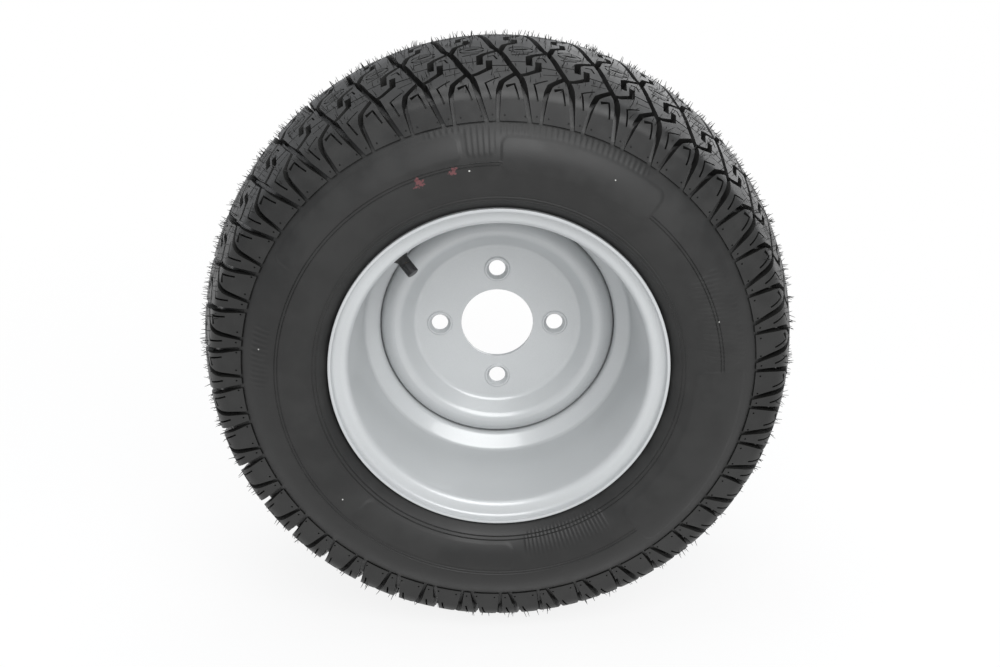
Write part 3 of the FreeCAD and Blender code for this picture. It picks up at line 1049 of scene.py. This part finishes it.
def run_to(points, end):
    """Adds a straight run to a path, in equal steps."""
    start = points[-1]
    count = math.ceil((end - start).length / RUN_STEP)
    points.extend(start.lerp(end, (index + 1) / count) for index in range(count))


def barrel_path():
    """Points of the barrel's section, with its bends rounded."""
    places = [Vector(corner[:2]) * MM for corner in BARREL]
    roundings = [corner[2] for corner in BARREL]
    points = [places[0]]
    for before, corner, after, rounding in zip(places, places[1:], places[2:], roundings[1:]):
        back = (before - corner).normalized()
        ahead = (after - corner).normalized()
        half = back.angle(ahead) / 2
        reach = rounding * MM / math.tan(half)
        centre = corner + (back + ahead).normalized() * (rounding * MM / math.sin(half))
        run_to(points, corner + back * reach)
        points += arc_points(centre, corner + back * reach, corner + ahead * reach, BEND_POINTS)[1:]
    run_to(points, places[-1])
    return points


def valve_line():
    """Foot of the air valve on the barrel, and the direction in which it stands."""
    joints = {joint["name"]: joint for joint in frame["record"]["behaviour"]["joints"]}
    along = Vector(joints["cap_turn"]["axis"]).normalized()
    return Vector(joints["cap_turn"]["pos_m"]) - along * SEAT_BELOW_JOINT, along


def face_axle(piece):
    """Turns the normals of an open barrel towards the axle, so that its wall grows towards the tyre."""
    level = Vector((1, 0, 1))
    if sum(face.area * face.normal.dot(face.center * level) for face in piece.data.polygons) > 0:
        edit(piece)
        bpy.ops.mesh.flip_normals()
        leave_edit()


def press_valve_seat(piece):
    """Presses a flat round seat into the barrel where the valve stands."""
    foot, along = valve_line()
    for corner in piece.data.vertices:
        offset = corner.co - foot
        height = offset.dot(along)
        away = (offset - along * height).length
        if abs(height) < SEAT_EDGE:
            corner.co -= along * (height * (1 - soft_step(away, SEAT_FLAT, SEAT_EDGE)))


def bore_valve_hole(piece):
    foot, along = valve_line()
    deselect()
    bpy.ops.mesh.primitive_cylinder_add(
        vertices=HOLE_SIDES, radius=HOLE_WIDTH / 2, depth=SEAT_EDGE, location=foot,
        rotation=along.to_track_quat("Z", "Y").to_euler(),
    )
    drill = bpy.context.object
    bpy.ops.object.transform_apply(location=True, rotation=True)
    group = new_group("valve hole")
    group.objects.link(drill)
    cut_away(piece, group)


class WHEEL_OT_rim(bpy.types.Operator):
    """Rolls the barrel from its section, with the valve's seat, and paints it with the disc and the welds"""

    bl_idname = "wheel.rim"
    bl_label = "Rim"

    def execute(self, context):
        look = settings().rim
        barrel = drawn_line("barrel", [Vector((point.y, -point.x, 0)) for point in barrel_path()])
        leave_edit()
        turn_section(barrel, look.steps)
        face_axle(barrel)
        press_valve_seat(barrel)
        wall = barrel.modifiers.new("wall", "SOLIDIFY")
        wall.thickness = look.wall
        wall.offset = -1
        wall.use_even_offset = True
        apply(wall)
        edge = barrel.modifiers.new("edge", "BEVEL")
        edge.width = look.lip_round
        edge.segments = 2
        edge.limit_method = "ANGLE"
        edge.angle_limit = LIP_ANGLE
        apply(edge)
        bore_valve_hole(barrel)
        paint = paint_finish("silver paint", PAINT_ROUGHNESS)
        finish_piece(barrel, "barrel_rolled", "wheel", paint, smooth=30)
        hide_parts("rim_barrel")
        for node in ("wheel_disc", "disc_welds"):
            dress(node, paint)
        return {"FINISHED"}


# Air valve: places along it are measured from its foot on the barrel

SPRING_FOOT = 8.6 * MM
SPRING_HEAD = 13.15 * MM
COIL_RADIUS = 1.2 * MM
COIL_WIRE = 0.35 * MM
COIL_TURNS = 5
COIL_STEPS = 24
WIRE_SIDES = 8


def make_spring(material):
    """Coil between the core's floor and the pin's collar."""
    foot, along = valve_line()
    deselect()
    bpy.ops.mesh.primitive_circle_add(
        vertices=WIRE_SIDES, radius=COIL_WIRE / 2, location=(COIL_RADIUS, 0, 0), rotation=(math.pi / 2, 0, 0)
    )
    piece = bpy.context.object
    bpy.ops.object.transform_apply(location=True, rotation=True)
    coil = piece.modifiers.new("coil", "SCREW")
    coil.axis = "Z"
    coil.steps = COIL_STEPS
    coil.render_steps = COIL_STEPS
    coil.iterations = COIL_TURNS
    coil.screw_offset = (SPRING_HEAD - SPRING_FOOT - COIL_WIRE) / COIL_TURNS
    apply(coil)
    edit(piece)
    bpy.ops.mesh.fill_holes(sides=WIRE_SIDES)
    bpy.ops.mesh.normals_make_consistent(inside=False)
    leave_edit()
    piece.location = foot + along * (SPRING_FOOT + COIL_WIRE / 2)
    piece.rotation_euler = along.to_track_quat("Z", "Y").to_euler()
    bpy.ops.object.transform_apply(location=True, rotation=True)
    piece.name = "spring_coil"
    piece.data.name = "spring_coil"
    piece.data.materials.append(material)
    bpy.ops.object.shade_smooth_by_angle(angle=math.radians(50))
    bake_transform(piece)
    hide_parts("valve_core_spring")


class WHEEL_OT_valve(bpy.types.Operator):
    """Winds the core's spring and finishes the pieces of the air valve"""

    bl_idname = "wheel.valve"
    bl_label = "Valve"

    def execute(self, context):
        rubber = moulded_finish("valve rubber", (0.018, 0.018, 0.018), 0.42)
        plastic = moulded_finish("cap plastic", (0.014, 0.014, 0.015), 0.34)
        brass = metal_finish("turned brass", (0.72, 0.54, 0.27))
        steel = metal_finish("spring wire", (0.62, 0.62, 0.62))
        for node in ("valve_stem", "valve_core_seal", "valve_cap_seal"):
            dress(node, rubber)
        for node in ("valve_insert", "valve_core_body", "valve_core_pin"):
            dress(node, brass)
        make_spring(steel)
        dress("valve_cap", plastic)
        return {"FINISHED"}


def stage_finish(name, tone):
    """Pale studio paper that fades to white away from the wheel and keeps its soft shadow."""
    finish = Finish(name)
    spot, (x, y, z) = finish.place()
    fibre = finish.noise(spot, 3.0)
    colour = finish.colour(fibre, shade(tone, 0.99), tone)
    paper = finish.node("ShaderNodeBsdfDiffuse", inputs={"Color": colour})
    glow = finish.node("ShaderNodeEmission", inputs={"Color": (1, 1, 1, 1), "Strength": 1.0})
    path = finish.node("ShaderNodeLightPath", output="Is Camera Ray")
    glossy = finish.node("ShaderNodeLightPath", output="Is Glossy Ray")
    away = (x ** 2.0 + y ** 2.0).root().between(0.3, 1.3)
    white = path.most(glossy) * (0.86 + away * 0.14)
    mixed = finish.node("ShaderNodeMixShader", inputs={0: white, 1: paper, 2: glow})
    finish.node("ShaderNodeOutputMaterial", inputs={"Surface": mixed})
    return finish.material


# Stage

FLOOR_SIZE = 12
FLOOR_DROP = 2 * MM
PAPER = (0.86, 0.86, 0.86)
AMBIENT = (0.95, 0.97, 1.0, 1)
AMBIENT_STRENGTH = 0.62
SENSOR_WIDTH = 36
LAMPS = [
    ("key light", (0.35, -1.5, 1.35), (0, 0, 0), (1.5, 1.3), 29),
    ("top light", (-0.1, 0.1, 1.8), (0, 0, 0), (1.6, 1.4), 14),
    ("back light", (1.0, 1.8, 0.55), (0.1, 0, 0.1), (1.5, 1.2), 7),
]


def add_lamp(name, place, target, size, power):
    data = bpy.data.lights.new(name, "AREA")
    data.shape = "RECTANGLE"
    data.size, data.size_y = size
    data.energy = power
    lamp = bpy.data.objects.new(name, data)
    bpy.context.scene.collection.objects.link(lamp)
    lamp.location = place
    lamp.rotation_euler = (Vector(target) - Vector(place)).to_track_quat("-Z", "Y").to_euler()


class WHEEL_OT_stage(bpy.types.Operator):
    """Sets up the floor, the light and the camera"""

    bl_idname = "wheel.stage"
    bl_label = "Stage"

    def execute(self, context):
        look = settings().stage
        scene = context.scene
        deselect()
        bpy.ops.mesh.primitive_plane_add(size=FLOOR_SIZE, location=(0, 0, CAD_BOX[0][2] - FLOOR_DROP))
        floor = context.object
        bpy.ops.object.transform_apply(location=True)
        floor.name = "floor"
        floor.data.materials.append(stage_finish("paper", PAPER))

        world = bpy.data.worlds.new("studio")
        scene.world = world
        world.use_nodes = True
        tree = world.node_tree
        tree.nodes.clear()
        path = tree.nodes.new("ShaderNodeLightPath")
        ambient = tree.nodes.new("ShaderNodeBackground")
        ambient.inputs["Color"].default_value = AMBIENT
        ambient.inputs["Strength"].default_value = AMBIENT_STRENGTH
        white = tree.nodes.new("ShaderNodeBackground")
        white.inputs["Color"].default_value = (1, 1, 1, 1)
        mix = tree.nodes.new("ShaderNodeMixShader")
        output = tree.nodes.new("ShaderNodeOutputWorld")
        tree.links.new(path.outputs["Is Camera Ray"], mix.inputs[0])
        tree.links.new(ambient.outputs[0], mix.inputs[1])
        tree.links.new(white.outputs[0], mix.inputs[2])
        tree.links.new(mix.outputs[0], output.inputs[0])

        for lamp in LAMPS:
            add_lamp(*lamp)

        camera_data = bpy.data.cameras.new("camera")
        camera = bpy.data.objects.new("camera", camera_data)
        scene.collection.objects.link(camera)
        level = math.cos(look.elevation)
        back = Vector((
            math.sin(look.azimuth) * level, -math.cos(look.azimuth) * level, math.sin(look.elevation)
        ))
        camera.location = back * look.distance
        camera.rotation_euler = (-back).to_track_quat("-Z", "Y").to_euler()
        camera_data.lens = look.lens
        camera_data.sensor_width = SENSOR_WIDTH
        camera_data.shift_x = look.shift_right
        camera_data.shift_y = look.shift_up
        scene.camera = camera
        scene.view_settings.view_transform = "Standard"
        return {"FINISHED"}


class WHEEL_PT_panel(bpy.types.Panel):
    """Lists the steps that make the wheel"""

    bl_idname = "WHEEL_PT_panel"
    bl_label = "Wheel"
    bl_space_type = "VIEW_3D"
    bl_region_type = "UI"
    bl_category = "Wheel"

    def draw(self, context):
        for step in STEPS:
            self.layout.operator(step.bl_idname)


STEPS = (WHEEL_OT_tread, WHEEL_OT_sidewalls, WHEEL_OT_whiskers, WHEEL_OT_rim, WHEEL_OT_valve, WHEEL_OT_stage)
CLASSES = (
    TreadSettings, CasingSettings, WhiskerSettings, RimSettings, FinishSettings, StageSettings, WheelSettings,
    *STEPS, WHEEL_PT_panel,
)


def register():
    for made in CLASSES:
        bpy.utils.register_class(made)
    bpy.types.Scene.wheel = PointerProperty(type=WheelSettings)


def unregister():
    del bpy.types.Scene.wheel
    for made in reversed(CLASSES):
        bpy.utils.unregister_class(made)


def main():
    register()
    bpy.ops.wheel.tread()
    bpy.ops.wheel.sidewalls()
    bpy.ops.wheel.whiskers()
    bpy.ops.wheel.rim()
    bpy.ops.wheel.valve()
    bpy.ops.wheel.stage()
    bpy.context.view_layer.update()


if __name__ == "__main__":
    main()
